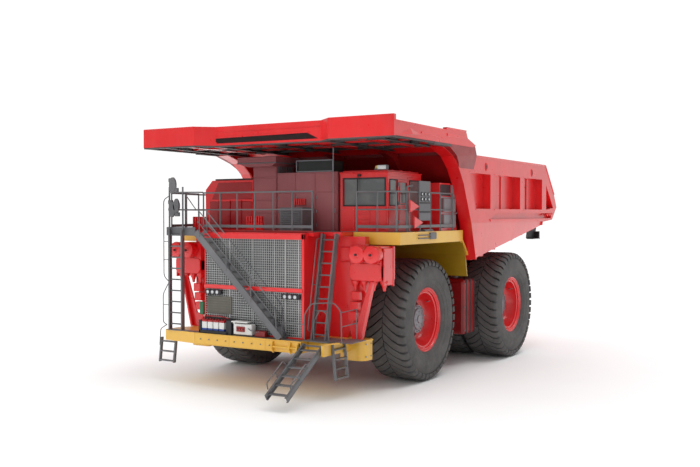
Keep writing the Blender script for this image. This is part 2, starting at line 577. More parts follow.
def stair(name, x0, x1, foot, head, treads, depth, width, body, replaces, rails=0.0, rail_r=0.02, mat=None, first=0.0, top=0.15):
    """Two stringers with slatted treads between them, from foot (y, z) to head, and hand rails outside when asked."""
    k = Kit()
    fy, fz = foot
    hy, hz = head
    length = math.hypot(hy - fy, hz - fz)
    uy, uz = (hy - fy) / length, (hz - fz) / length
    ny, nz = -uz, uy                       # across the slope
    if ny > 0:
        ny, nz = -ny, -nz
    w = width / 2
    for a, b in ((x0, x0 + 0.022), (x1 - 0.022, x1)):
        web = [(fy - ny * w, fz - nz * w), (fy + ny * w, fz + nz * w), (hy + ny * w, hz + nz * w), (hy - ny * w, hz - nz * w)]
        k.plate("yz", web, a, b, 0.004)
    for a, b in ((x0, x0 + 0.06), (x1 - 0.06, x1)):
        for side in (-1, 1):               # flanges make the stringers channels
            f0, f1 = w - 0.012, w
            quad = [(fy + side * ny * f0, fz + side * nz * f0), (fy + side * ny * f1, fz + side * nz * f1),
                    (hy + side * ny * f1, hz + side * nz * f1), (hy + side * ny * f0, hz + side * nz * f0)]
            k.plate("yz", quad, a, b)
    for i in range(treads):
        t = (i + 0.5 + first) / treads
        if t > 0.995:
            continue
        y, z = fy + (hy - fy) * t, fz + (hz - fz) * t
        if depth < 0.08:
            k.rod((x0 + 0.01, y, z), (x1 - 0.01, y, z), depth / 2, 10)
            continue
        slats = 5
        for j in range(slats):
            yy = y - depth / 2 + depth * (j + 0.5) / slats
            k.box(x0 + 0.012, x1 - 0.012, yy - depth / slats * 0.32, yy + depth / slats * 0.32, z - 0.02, z + 0.006, 0.003)
        for xx in (x0 + 0.06, (x0 + x1) / 2, x1 - 0.06):
            k.box(xx - 0.006, xx + 0.006, y - depth / 2 + 0.01, y + depth / 2 - 0.01, z - 0.022, z - 0.002, 0.001)
    k.done(name, mat or DARK_RAIL, body, "grey_steel", replaces)
    if rails:
        r = Kit()
        for x in (x0 - 0.03, x1 + 0.03):
            pts = [(x, fy + uy * 0.25 + ny * w, fz + uz * 0.25 + nz * w),
                   (x, fy + uy * 0.30 + ny * rails, fz + uz * 0.30 + nz * rails),
                   (x, fy + uy * (length - top - 0.05) + ny * rails, fz + uz * (length - top - 0.05) + nz * rails),
                   (x, fy + uy * (length - top) + ny * w, fz + uz * (length - top) + nz * w)]
            r.tube(soften(pts, 0.12), rail_r, 8)
            m = (length - top + 0.25) * 0.5
            r.rod((x, fy + uy * m + ny * w * 0.5, fz + uz * m + nz * w * 0.5), (x, fy + uy * m + ny * rails, fz + uz * m + nz * rails), rail_r * 0.9, 8)
        r.done(name + "_rails", mat or DARK_RAIL, body, "grey_steel")


stair("stair_left", 2.09, 2.65, (-4.18, 1.70), (-3.58, 4.90), 9, 0.045, 0.17, "chassis", ["ladder_left"], rails=0.22, rail_r=0.014)
stair("stair_right", -3.46, -2.86, (-4.33, 1.70), (-4.33, 5.00), 9, 0.050, 0.13, "chassis", ["ladder_right"])
stair("stair_swing", 2.08, 2.82, (-6.50, 0.36), (-4.62, 1.60), 6, 0.24, 0.17, "swing_stair", ["swing_stair"], rails=0.27, rail_r=0.018, top=0.95)


def cross_stair():
    """The stair in front of the grille, running up across the truck to the right-hand platform."""
    k = Kit()
    a, b = Vector((1.25, 0.0, 1.74)), Vector((-2.05, 0.0, 4.93))
    d = (b - a).normalized()
    n = Vector((d.z, 0, -d.x))
    if n.z < 0:
        n = -n
    for y0, y1 in ((-4.66, -4.635), (-4.305, -4.28)):
        web = [a + n * 0.11, a - n * 0.11, b - n * 0.11, b + n * 0.11]
        k.plate("xz", [(p.x, p.z) for p in web], y0, y1, 0.004)
    for y0, y1 in ((-4.66, -4.60), (-4.34, -4.28)):
        for side in (-1, 1):
            quad = [a + n * side * 0.098, a + n * side * 0.112, b + n * side * 0.112, b + n * side * 0.098]
            k.plate("xz", [(p.x, p.z) for p in quad], y0, y1)
    steps = 14
    for i in range(steps):
        p = a + (b - a) * ((i + 0.5) / steps)
        for j in range(4):
            xx = p.x - 0.10 + 0.2 * (j + 0.5) / 4
            k.box(xx - 0.018, xx + 0.018, -4.64, -4.30, p.z - 0.018, p.z + 0.006, 0.003)
    k.done("stair_cross", DARK_RAIL, "chassis", "grey_steel", ["diagonal_stair"])
    r = Kit()
    for y in (-4.66, -4.29):
        pts = [a + d * 0.25 + n * 0.1, a + d * 0.25 + Vector((0, 0, 0.82)), b - d * 0.15 + Vector((0, 0, 0.82))]
        r.tube(soften([(p.x, y, p.z) for p in pts], 0.15), 0.018, 8)
        q0, q1 = a + d * 0.25 + Vector((0, 0, 0.44)), b - d * 0.15 + Vector((0, 0, 0.44))
        r.rod((q0.x, y, q0.z), (q1.x, y, q1.z), 0.013, 8)
        for t in (0.33, 0.62, 0.95):
            p = a + (b - a) * t
            r.rod((p.x, y, p.z), (p.x, y, p.z + 0.82), 0.015, 8)
    r.done("stair_cross_rails", DARK_RAIL, "chassis", "grey_steel")


cross_stair()


# ---------------------------------------------------------------- dump body


def oval(x, y, z, ry, rz, s, depth, steps=20):
    return [(y + ry * math.cos(2 * math.pi * i / steps), z + rz * math.sin(2 * math.pi * i / steps)) for i in range(steps)]


def body_details(s, side):
    k = Kit()
    X = s * 4.60
    # lips round the bays, the top rail's edge beads and the rub rail
    bays = [(2.42, 3.73, 1.86, 3.73), (4.13, 6.76, 4.13, 6.76), (7.16, 9.32, 7.16, 9.32)]
    for a, b, c, d in bays:
        z0, z1 = 5.69, 6.94
        k.plate("yz", [(a - 0.03, z0 - 0.04), (b + 0.03, z0 - 0.04), (b + 0.03, z0 + 0.004), (a - 0.03, z0 + 0.004)], X - s * 0.02, X + s * 0.014, 0.003)
        k.plate("yz", [(c - 0.03, z1 - 0.004), (d + 0.03, z1 - 0.004), (d + 0.03, z1 + 0.035), (c - 0.03, z1 + 0.035)], X - s * 0.02, X + s * 0.012, 0.003)
        k.plate("yz", [(b - 0.004, z0), (b + 0.034, z0), (d + 0.034, z1), (d - 0.004, z1)], X - s * 0.02, X + s * 0.010, 0.003)
    k.plate("yz", [(2.10, 7.505), (9.76, 7.505), (9.74, 7.562), (2.09, 7.562)], X - s * 0.10, X + s * 0.020, 0.005)
    k.plate("yz", [(9.72, 7.56), (9.78, 7.56), (10.93, 6.35), (10.86, 6.34)], X - s * 0.10, X + s * 0.018, 0.004)
    k.plate("yz", [(3.72, 5.235), (9.45, 5.235), (9.50, 5.325), (3.66, 5.325)], X - s * 0.12, X + s * 0.030, 0.006)
    # front edge bead of the gusset, from the nose up under the canopy
    front = [(2.42, 3.92), (2.00, 5.23), (1.36, 6.54), (0.97, 7.05), (0.48, 7.43), (0.05, 7.58), (-0.36, 7.70)]
    for (y0, z0), (y1, z1) in zip(front[:-1], front[1:]):
        d = Vector((y1 - y0, z1 - z0)).normalized()
        n = Vector((-d.y, d.x))
        if n.x > 0:
            n = -n
        q = [(y0 + n.x * 0.012, z0 + n.y * 0.012), (y0 - n.x * 0.05, z0 - n.y * 0.05), (y1 - n.x * 0.05, z1 - n.y * 0.05), (y1 + n.x * 0.012, z1 + n.y * 0.012)]
        k.plate("yz", q, X - s * 0.42, X + s * 0.012)
    k.done("body_lips_" + side, RED, "dump_body", "red_paint")
    # rings of the two lifting holes, and the holes' dark backs
    r, h = Kit(), Kit()
    for y, z in ((3.35, 7.20), (8.10, 7.17)):
        out, inn = oval(X, y, z, 0.085, 0.15, s, 0.0), oval(X, y, z, 0.055, 0.115, s, 0.0)
        n = len(out)
        xa, xb = X + s * 0.022, X - s * 0.01
        verts = [(xb, *p) for p in out] + [(xa, *p) for p in out] + [(xa, *p) for p in inn] + [(xb, *p) for p in inn]
        faces = []
        for i in range(n):
            j = (i + 1) % n
            for a, b in ((0, 1), (1, 2), (2, 3), (3, 0)):
                faces.append((a * n + i, a * n + j, b * n + j, b * n + i))
        r.add(verts, faces)
        h.plate("yz", inn, X - s * 0.005, X + s * 0.004)
    r.done("hole_rings_" + side, RED, "dump_body", "red_paint")
    h.done("hole_backs_" + side, DARK, "dump_body", "dark_paint")
    # folded stiffeners in the bays' backs and four marker studs near the tail
    f = Kit()
    for a, b, _, d in bays[1:]:
        for y in (a + (b - a) * 0.5,):
            f.plate("yz", [(y - 0.03, 5.70), (y + 0.03, 5.70), (y + 0.03, 6.93), (y - 0.03, 6.93)], X - s * 0.32, X - s * 0.262, 0.006)
    for i in range(4):
        f.rod((X - s * 0.02, 9.95 + 0.22 * i, 5.47 + 0.018 * i), (X + s * 0.03, 9.95 + 0.22 * i, 5.47 + 0.018 * i), 0.045, 12)
    f.done("body_ribs_" + side, RED, "dump_body", "red_paint")
    # cheek that leans out from the side wall to the canopy's edge
    outline = [(-0.34, 7.71), (0.20, 7.53), (0.48, 7.43), (0.76, 7.26), (0.97, 7.06), (2.19, 7.06), (2.06, 7.52), (1.78, 7.84), (-0.34, 7.84)]
    c = Kit()
    lean = lambda z: X + s * min(0.235, 0.004 + 0.26 * max(0.0, (z - 7.05) / 0.68))
    n = len(outline)
    c.add([(X - s * 0.012, y, z) for y, z in outline] + [(lean(z), y, z) for y, z in outline],
          [tuple(range(n))[::-1], tuple(range(n, 2 * n))] + [(i, (i + 1) % n, n + (i + 1) % n, n + i) for i in range(n)])
    c.done("cheek_" + side, RED_DARK, "dump_body", "red_paint")
    # tail lamp bracket under the body, on the dump body's tail
    t = Kit()
    t.plate("yz", [(9.15, 4.98), (10.30, 5.17), (10.05, 4.62), (9.98, 4.47), (9.02, 4.50)], s * 4.02, s * 4.06, 0.006)
    t.box(s * 4.02, s * 4.30, 9.10, 10.0, 4.47, 4.50, 0.006)
    t.box(s * 4.06, s * 4.26, 9.96, 10.06, 4.50, 4.78, 0.012)
    t.done("tail_bracket_" + side, DARK, "dump_body", "dark_paint")
    lamp = Kit()
    for z in (4.57, 4.70):
        lamp.turned([(0.0, 0.0), (0.016, 0.03), (0.010, 0.052), (-0.01, 0.054), (-0.01, 0.0)], (s * 4.16, 10.07, z), "y", 18, closed=False)
    lamp.done("tail_lamps_" + side, LAMP_RED, "dump_body", "window_glass")


for s, side in ((1, "left"), (-1, "right")):
    body_details(s, side)


def canopy_details():
    k = Kit()
    # fold line and the lit lower flange of the front face, corner straps, and the open recess in its middle
    for x0, x1 in ((-4.84, -2.62), (2.62, 4.84)):
        k.box(x0, x1, -4.078, -4.05, 8.355, 8.385, 0.004)
    for s in (-1, 1):
        X = s * 4.85
        k.plate("yz", [(-3.82, 7.80), (-2.22, 7.90), (-3.06, 8.08)], X - s * 0.02, X + s * 0.004)
        n = [(X + s * 0.002, -3.82, 7.80), (X + s * 0.002, -2.22, 7.90), (X + s * 0.002, -3.06, 8.08), (X + s * 0.085, -3.06, 7.86)]
        k.add([(X - s * 0.01, y, z) for _, y, z in n[:3]] + [n[3]], [(0, 1, 2), (0, 1, 3), (1, 2, 3), (2, 0, 3)])
        k.plate("yz", [(-2.34, 7.955), (-0.58, 7.915), (-0.58, 7.96), (-2.34, 8.00)], X - s * 0.02, X + s * 0.025, 0.004)
        k.plate("yz", [(-4.05, 8.19), (-0.53, 8.17), (-0.53, 8.205), (-4.05, 8.225)], X - s * 0.05, X + s * 0.016, 0.004)
        k.plate("yz", [(-0.50, 8.10), (0.96, 8.12), (1.08, 8.02), (-0.50, 8.00)], X - s * 0.02, X + s * 0.020, 0.004)
        k.plate("yz", [(-0.53, 8.245), (0.99, 8.255), (0.99, 8.295), (-0.53, 8.285)], X - s * 0.12, X + s * 0.020, 0.004)
    k.done("canopy_trim", RED, "dump_body", "red_paint")
    g = Kit()                                       # grey flange along the underside's front, and its beams
    zb = 7.715
    for a, b in (((-4.84, -4.06), (-2.62, -4.06)), ((2.62, -4.06), (4.84, -4.06))):
        g.box(a[0], b[0], -4.07, -3.90, zb, zb + 0.05, 0.006)
    for s in (-1, 1):
        g.plate("xy", [(s * 2.62, -4.06), (s * 2.05, -3.60), (s * 2.05, -3.44), (s * 2.62, -3.90)], zb, zb + 0.05)
        g.box(s * 4.70, s * 4.84, -3.9, -1.45, zb, zb + 0.05, 0.006)
        g.box(s * 4.60, s * 4.845, -1.42, -0.10, zb - 0.03, zb + 0.12, 0.01)
    g.box(-2.05, 2.05, -3.60, -3.44, zb, zb + 0.05, 0.006)
    for x in (-4.1, -2.2, 0.0, 2.2, 4.1):
        g.plate("yz", [(-3.5, zb + 0.02), (-3.5, zb + 0.14), (0.9, zb + 0.14), (0.9, zb - 0.02)], x - 0.015, x + 0.015, 0.003)
        g.plate("yz", [(-3.5, zb + 0.01), (-3.5, zb + 0.03), (0.9, zb - 0.01), (0.9, zb - 0.03)], x - 0.09, x + 0.09, 0.003)
    for y in (-3.1, -1.65, 0.1):
        g.box(-4.7, 4.7, y - 0.012, y + 0.012, zb + 0.03, zb + 0.14, 0.003)
    g.done("canopy_beams", GREY_DARK, "dump_body", "dark_paint")
    d = Kit()                                       # dark opening in the middle of the front face
    d.plate("xz", [(-2.00, 7.83), (1.95, 7.83), (1.55, 8.02), (-2.18, 7.99)], -3.612, -3.595, 0.002)
    d.done("canopy_slot", RED_BLACK, "dump_body", "dark_paint")
    t = Kit()                                       # fold strips over the opening, and a roof plate's weld seams
    t.plate("xz", [(-2.25, 8.00), (1.62, 8.02), (1.62, 8.06), (-2.25, 8.04)], -3.625, -3.60, 0.003)
    t.box(-2.06, 2.06, -3.625, -3.60, 8.185, 8.200, 0.003)
    for x in (-3.2, -1.6, 0.0, 1.6, 3.2):
        t.box(x - 0.02, x + 0.02, -3.4, 0.97, 7.975, 7.992, 0.004)
    for y in (-2.4, -0.9):
        t.box(-4.68, 4.68, y - 0.02, y + 0.02, 7.975, 7.990, 0.004)
    t.done("canopy_seams", RED, "dump_body", "red_paint")


GREY_DARK = paint("paint_grey_dark", srgb(88, 82, 82), srgb(60, 54, 54), srgb(110, 100, 96), dusty=0.15, rough=(0.4, 0.6), streaks=0.1)
RED_BLACK = paint("shadow_red", srgb(34, 4, 6), srgb(20, 2, 4), srgb(50, 20, 20), dusty=0.05, rough=(0.6, 0.8), streaks=0.05)
canopy_details()


def body_inside():
    """Wear plates in the load space and the floor's running strips."""
    k = Kit()
    for y in (3.6, 4.9, 6.2, 7.5, 8.8):
        z = 4.08 + (y - 2.6) * 0.173
        k.box(-4.10, 4.10, y, y + 0.9, z + 0.02, z + 0.055, 0.006)
    k.done("floor_plates", STEEL, "dump_body", "grey_steel")
    r = Kit()
    for x in (-3.3, -1.1, 1.1, 3.3):
        r.plate("yz", [(2.33, 5.23), (2.25, 5.25), (1.60, 6.56), (1.20, 7.07), (0.86, 7.50), (0.95, 7.50), (1.28, 7.05), (1.68, 6.54)], x - 0.05, x + 0.05)
    r.done("headboard_stiffeners", RED_DARK, "dump_body", "red_paint")


body_inside()


def closing_plates():
    k = Kit()                                   # closes the headboard's top against the canopy's rear plate
    k.box(-4.14, 4.14, 0.93, 1.16, 7.46, 7.66, 0.01)
    k.done("headboard_cap", RED_DARK, "dump_body", "red_paint")
    d = Kit()                                   # shaded soffit under the canopy's roof
    d.plate("xy", [(-4.70, -3.93), (-2.6, -3.93), (-2.05, -3.48), (2.05, -3.48), (2.6, -3.93), (4.70, -3.93), (4.70, 0.60), (-4.70, 0.60)], 7.846, 7.857)
    d.done("canopy_soffit", RED_BLACK, "dump_body", "dark_paint")
    h = Kit()                                   # shaded facing on the headboard's front
    line = [(2.60, 4.20), (2.24, 5.28), (1.615, 6.55), (1.235, 7.06), (0.88, 7.49)]
    h.plate("yz", line + [(y - 0.03, z) for y, z in line[::-1]], -4.13, 4.13)
    h.done("headboard_facing", RED_DARK, "dump_body", "red_paint")


closing_plates()

# ---------------------------------------------------------------- cab


def frame_of(k, plane, x0, x1, z0, z1, t, w=0.05, d=0.02, out=1.0):
    """A raised frame round a rectangle. t is where its back stands, and it stands d out along out."""
    for a, b, c, e in ((x0 - w, x0, z0 - w, z1 + w), (x1, x1 + w, z0 - w, z1 + w), (x0, x1, z0 - w, z0), (x0, x1, z1, z1 + w)):
        if plane == "xz":
            k.box(a, b, t, t + out * d, c, e, 0.005)
        else:
            k.box(t, t + out * d, a, b, c, e, 0.005)


def cab():
    k = Kit()
    frame_of(k, "xz", 1.94, 3.43, 5.80, 6.62, -2.05, 0.045, 0.022, -1.0)
    frame_of(k, "yz", -1.92, -1.45, 5.80, 6.58, 3.55, 0.035, 0.016, 1.0)
    frame_of(k, "yz", -0.58, 0.12, 5.80, 6.58, 3.55, 0.035, 0.016, 1.0)
    k.done("window_seals", DARK, "chassis", "dark_paint")
    w = Kit()                                   # wiper on its arm
    w.tube([(2.52, -2.085, 6.74), (2.50, -2.12, 6.62), (2.47, -2.115, 6.30)], 0.010, 8)
    w.box(2.462, 2.484, -2.125, -2.09, 6.06, 6.62, 0.004)
    w.box(2.46, 2.58, -2.12, -2.06, 6.70, 6.78, 0.01)
    w.done("wiper", DARK, "chassis", "dark_paint")
    r = Kit()                                   # roof: lip, gutter, ribs
    r.box(1.78, 3.58, -2.09, 0.27, 6.80, 6.85, 0.012)
    r.box(1.86, 3.50, -2.00, 0.18, 6.85, 6.90, 0.02)
    for y in (-1.5, -0.9, -0.3):
        r.box(1.95, 3.42, y - 0.05, y + 0.05, 6.895, 6.925, 0.01)
    r.done("cab_roof", RED, "chassis", "red_paint")
    p = Kit()                                   # pressed panels under the windscreen and on the sides
    for x0, x1 in ((1.86, 2.33), (2.37, 2.90), (2.94, 3.49)):
        p.box(x0, x1, -2.068, -2.045, 5.02, 5.70, 0.012)
    for z in (5.18, 5.34, 5.50):
        p.box(2.42, 2.85, -2.082, -2.060, z, z + 0.05, 0.008)
    for y0, y1 in ((-2.0, -1.42), (-0.63, 0.20)):
        p.box(3.545, 3.568, y0, y1, 5.04, 5.70, 0.012)
    p.box(3.545, 3.562, -2.0, 0.2, 6.70, 6.77, 0.008)
    p.done("cab_panels", RED, "chassis", "red_paint")
    b = Kit()
    b.bolts([(x, -2.066, z) for x in (1.89, 2.30, 2.40, 2.87, 2.97, 3.46) for z in (5.06, 5.66)], (0, -1, 0), 0.012, 0.010)
    b.bolts([(3.566, y, z) for y in (-1.96, -1.46, -0.59, 0.16) for z in (5.08, 5.66)], (1, 0, 0), 0.012, 0.010)
    b.done("cab_bolts", STEEL, "chassis", "grey_steel")
    h = Kit()                                   # beacon and two lamps on the roof's front edge
    h.turned([(0.0, 0.0), (0.0, 0.09), (0.03, 0.09), (0.05, 0.07), (0.05, 0.0)], (3.05, -1.86, 6.90), "z", 24, closed=False)
    h.box(3.16, 3.50, -2.06, -1.90, 6.90, 7.06, 0.02)
    h.done("roof_lamp_base", GREY, "chassis", "grey_steel")
    l = Kit()
    l.turned([(0.05, 0.0), (0.05, 0.066), (0.13, 0.060), (0.155, 0.035), (0.16, 0.0)], (3.05, -1.86, 6.90), "z", 24, closed=False)
    l.done("beacon", AMBER, "chassis", "window_glass")
    m = Kit()
    m.box(3.18, 3.48, -2.075, -2.055, 6.92, 7.04, 0.006)
    m.done("roof_lamp", LAMP, "chassis", "window_glass")


AMBER = lamp_material("lamp_amber", srgb(225, 200, 120))
cab()


def cab_door():
    k = Kit()
    k.box(3.548, 3.568, -1.33, -0.71, 5.12, 5.72, 0.012)
    frame_of(k, "yz", -1.26, -0.78, 5.86, 6.52, 3.552, 0.035, 0.016, 1.0)
    k.done("door_panel", RED, "cab_door", "red_paint")
    h = Kit()
    h.tube(soften([(3.56, -0.80, 5.62), (3.63, -0.80, 5.62), (3.63, -0.80, 5.86), (3.56, -0.80, 5.86)], 0.03), 0.011, 8)
    for z in (5.25, 5.85, 6.45):
        h.rod((3.55, -1.35, z - 0.06), (3.55, -1.35, z + 0.06), 0.030, 16)
    h.done("door_handle", STEEL, "cab_door", "grey_steel")


cab_door()

# ---------------------------------------------------------------- cabinets on the deck


def cabinets():
    k = Kit()                                   # seams and door panels, each a raised sheet
    y = -2.10
    for z0, z1 in ((4.97, 5.50), (5.54, 5.94), (5.98, 6.72), (6.76, 7.20)):
        k.box(-1.64, -0.70, y - 0.022, y + 0.005, z0, z1, 0.01)
    for x0, x1 in ((-0.63, 0.07), (0.12, 0.86), (0.91, 1.69)):
        k.box(x0, x1, y - 0.024, y + 0.005, 4.99, 6.20, 0.012)
        k.box(x0, x1, y - 0.018, y + 0.005, 6.24, 6.84, 0.012)
    k.done("cabinet_doors", RED_DULL, "chassis", "red_paint")
    c = Kit()                                   # cap of the vent tower, with its louvres underneath
    c.box(-2.10, -0.45, -2.47, -0.98, 7.20, 7.24, 0.01)
    c.box(-2.02, -0.53, -2.40, -1.05, 7.40, 7.435, 0.01)
    for i in range(9):
        yy = -2.05 + 0.10 * i
        c.box(-0.682, -0.66, yy, yy + 0.05, 6.70, 7.12, 0.004)
    c.done("vent_cap_trim", GREY, "chassis", "grey_steel")
    h = Kit()                                   # latches and hinges
    for x in (0.03, 0.82, 1.65):
        h.box(x - 0.02, x + 0.02, y - 0.05, y - 0.02, 5.55, 5.70, 0.006)
    for x in (-0.61, 0.14, 0.93):
        for z in (5.15, 5.60, 6.05):
            h.rod((x, y - 0.03, z - 0.05), (x, y - 0.03, z + 0.05), 0.014, 8)
    h.bolts([(x, y - 0.02, z) for x in (-1.60, -0.74) for z in (5.02, 5.45, 5.59, 5.89, 6.03, 6.67, 6.81, 7.15)], (0, -1, 0), 0.012, 0.010)
    h.done("cabinet_latches", STEEL, "chassis", "grey_steel")
    r = Kit()                                   # the hood's pressed panels, top frame and flutes
    y = -2.10
    for x0, x1 in ((-3.58, -3.20), (-3.14, -2.70), (-2.64, -2.20), (-2.14, -1.72)):
        r.box(x0, x1, y - 0.025, y + 0.005, 4.99, 5.95, 0.012)
    r.plate("xz", [(-3.50, 6.02), (-1.72, 6.02), (-1.72, 6.60), (-3.20, 6.60)], y - 0.02, y + 0.005, 0.01)
    for x in (-3.17, -2.67, -2.17):
        r.box(x - 0.012, x + 0.012, y - 0.045, y, 4.99, 5.98, 0.004)
    r.box(-3.74, -3.72, -1.9, 1.0, 5.05, 5.9, 0.004)
    for i in range(7):
        yy = -1.85 + 0.42 * i
        r.box(-3.80, -3.775, yy, yy + 0.34, 5.02, 5.95, 0.010)
    r.done("hood_panels", RED_DEEP, "chassis", "red_paint")
    t = Kit()
    t.box(-3.32, -1.70, y - 0.03, y + 0.02, 6.68, 6.735, 0.008)
    t.box(-3.10, -1.80, -1.9, 1.0, 6.715, 6.745, 0.012)
    t.done("hood_top", DARK, "chassis", "dark_paint")
    f = Kit()                                   # three open resistor grids on the hood's right side: round fans at its back
    for x in (-3.25, -2.35):
        f.turned([(0.0, 0.28), (0.0, 0.34), (0.05, 0.35), (0.05, 0.28)], (x, 1.20, 5.75), "y", 32)
        for q in range(5):
            f.turned([(0.02, 0.05 + 0.05 * q), (0.02, 0.062 + 0.05 * q), (0.032, 0.062 + 0.05 * q), (0.032, 0.05 + 0.05 * q)], (x, 1.20, 5.75), "y", 32)
        for q in range(8):
            a = math.pi * q / 8
            f.rod((x - 0.33 * math.cos(a), 1.225, 5.75 - 0.33 * math.sin(a)), (x + 0.33 * math.cos(a), 1.225, 5.75 + 0.33 * math.sin(a)), 0.008, 6)
    f.done("hood_fans", DARK, "chassis", "dark_paint")


RED_DEEP = paint("paint_red_deep", srgb(178, 12, 22), srgb(150, 8, 16), srgb(196, 90, 90), dusty=0.08, rough=(0.3, 0.42), coat=0.4, streaks=0.05)
cabinets()


def deck_things():
    k = Kit()                                   # finned combs in front of the hood and the cabinets
    for x0, x1, z1 in ((-3.62, -2.95, 5.42), (-1.30, -0.62, 5.44)):
        n = 7
        k.box(x0, x1, -2.98, -2.90, 4.97, 5.22, 0.01)
        for i in range(n):
            x = x0 + (x1 - x0) * (i + 0.5) / n
            k.box(x - 0.022, x + 0.022, -3.02, -2.90, 5.0, z1, 0.008)
    for i in range(6):
        x = 0.10 + 0.075 * i
        k.box(x - 0.02, x + 0.02, -2.19, -2.12, 5.80, 6.02, 0.006)
    k.done("combs", RED, "chassis", "red_paint")
    b = Kit()                                   # grey louvred box on the deck
    b.box(0.10, 0.98, -3.05, -2.45, 4.955, 5.72, 0.02)
    for i in range(9):
        z = 5.05 + 0.07 * i
        b.plate("yz", [(-3.052, z), (-3.085, z - 0.004), (-3.085, z + 0.012), (-3.052, z + 0.045)], 0.16, 0.92)
    b.done("louvre_box", GREY, "chassis", "grey_steel")
    f = Kit()                                   # frame with a dark box on the cabinets' roof
    f.box(0.12, 1.46, -2.02, -1.30, 6.885, 7.26, 0.02)
    f.done("roof_box", DARK_GREEN, "chassis", "dark_paint")
    e = Kit()
    frame_of(e, "xz", 0.10, 1.48, 6.93, 7.25, -2.02, 0.04, 0.03, -1.0)
    e.tube([(1.62, -2.20, 4.96), (1.62, -2.20, 7.64)], 0.018, 8)
    e.box(1.56, 1.68, -2.25, -2.15, 4.95, 4.975, 0.004)
    e.done("roof_frame", STEEL, "chassis", "grey_steel")
    # mirrors and lamps on posts by the cab
    p = Kit()
    p.tube(soften([(4.18, -2.00, 4.96), (4.18, -2.00, 6.36), (4.18, -1.62, 6.40)], 0.06), 0.030, 8)
    p.tube([(4.18, -1.80, 4.96), (4.18, -1.80, 6.30)], 0.018, 8)
    p.box(4.268, 4.308, -1.38, -0.58, 5.30, 6.56, 0.012)
    for z in (5.48, 5.99):
        p.box(4.22, 4.27, -1.22, -1.18, z - 0.02, z + 0.02, 0.004)
    p.done("mirror_post_left", GREY, "chassis", "dark_paint")
    w = Kit()
    for y0, z0 in ((-2.01, 5.57), (-1.73, 5.06)):
        w.add([(4.320, y0, z0), (4.320, y0 + 0.60, z0 + 0.18), (4.320, y0, z0 + 0.37), (4.265, y0, z0), (4.265, y0 + 0.60, z0 + 0.18), (4.265, y0, z0 + 0.37)],
              [(0, 1, 2), (5, 4, 3), (0, 3, 4, 1), (1, 4, 5, 2), (2, 5, 3, 0)])
    w.done("wedges", RED, "chassis", "red_paint")
    l = Kit()
    for i in range(3):
        for j in range(2):
            l.turned([(0.0, 0.0), (0.014, 0.02), (0.006, 0.045), (-0.01, 0.046), (-0.01, 0.0)], (4.328, -1.22 + 0.24 * i, 6.14 - 0.16 * j), "x", 16, closed=False)
    l.done("work_lamps", LAMP, "chassis", "window_glass")
    g = Kit()
    for i in range(3):
        for j in range(2):
            g.turned([(0.0, 0.046), (0.022, 0.046), (0.022, 0.060), (0.0, 0.062)], (4.318, -1.22 + 0.24 * i, 6.14 - 0.16 * j), "x", 16)
    g.box(4.303, 4.323, -1.36, -0.60, 5.55, 5.60, 0.004)
    g.box(4.303, 4.323, -1.36, -0.60, 5.84, 5.88, 0.004)
    g.done("work_lamp_rings", DARK, "chassis", "dark_paint")
    # electrical cabinet doors: two light panels and dark openings
    c = Kit()
    X = 4.15
    for y0, y1, z0, z1 in ((0.72, 1.66, 5.58, 6.04), (0.72, 1.66, 5.04, 5.50), (1.30, 1.62, 6.10, 6.50)):
        c.box(X - 0.005, X + 0.03, y0, y1, z0, z1, 0.012)
    c.box(X - 0.005, X + 0.02, 0.44, 1.80, 5.52, 5.56, 0.006)
    c.box(X - 0.005, X + 0.02, 0.44, 1.80, 6.05, 6.09, 0.006)
    c.done("ecab_doors", GREY_LIGHT, "chassis", "grey_steel")
    o = Kit()
    for y0, y1, z0, z1 in ((0.46, 0.68, 5.04, 5.50), (0.46, 0.68, 5.58, 6.04), (0.46, 1.26, 6.12, 6.50)):
        o.box(X - 0.005, X + 0.006, y0, y1, z0, z1, 0.002)
    o.done("ecab_openings", DARK, "chassis", "dark_paint")
    # grey boxes and pipes in front of the side fascia
    q = Kit()
    q.box(4.10, 4.28, -0.90, -0.30, 4.66, 5.02, 0.02)
    q.box(4.30, 4.42, -0.78, -0.34, 4.70, 4.92, 0.02)
    for z in (4.74, 4.84):
        q.tube([(4.40, -1.60, z), (4.40, -0.80, z)], 0.018, 8)
    q.done("side_boxes", GREY, "chassis", "grey_steel")
    i = Kit()                                   # inclined yellow edge behind the cab deck
    i.plate("yz", [(1.86, 4.62), (1.92, 4.62), (2.52, 3.98), (2.44, 3.98)], 4.22, 4.34, 0.006)
    i.done("mudguard_edge_left", YELLOW, "chassis", "yellow_paint")
    j = Kit()
    j.plate("yz", [(1.86, 4.62), (1.92, 4.62), (2.52, 3.98), (2.44, 3.98)], -4.22, -4.34, 0.006)
    j.done("mudguard_edge_right", YELLOW, "chassis", "yellow_paint")


DARK_GREEN = paint("dark_green", srgb(36, 44, 40), srgb(26, 32, 30), srgb(90, 92, 88), dusty=0.2, rough=(0.4, 0.55))
GREY_LIGHT = paint("paint_grey_light", srgb(140, 140, 144), srgb(118, 118, 122), srgb(165, 162, 158), dusty=0.15, rough=(0.35, 0.5), streaks=0.06)
deck_things()

# ---------------------------------------------------------------- air cleaners


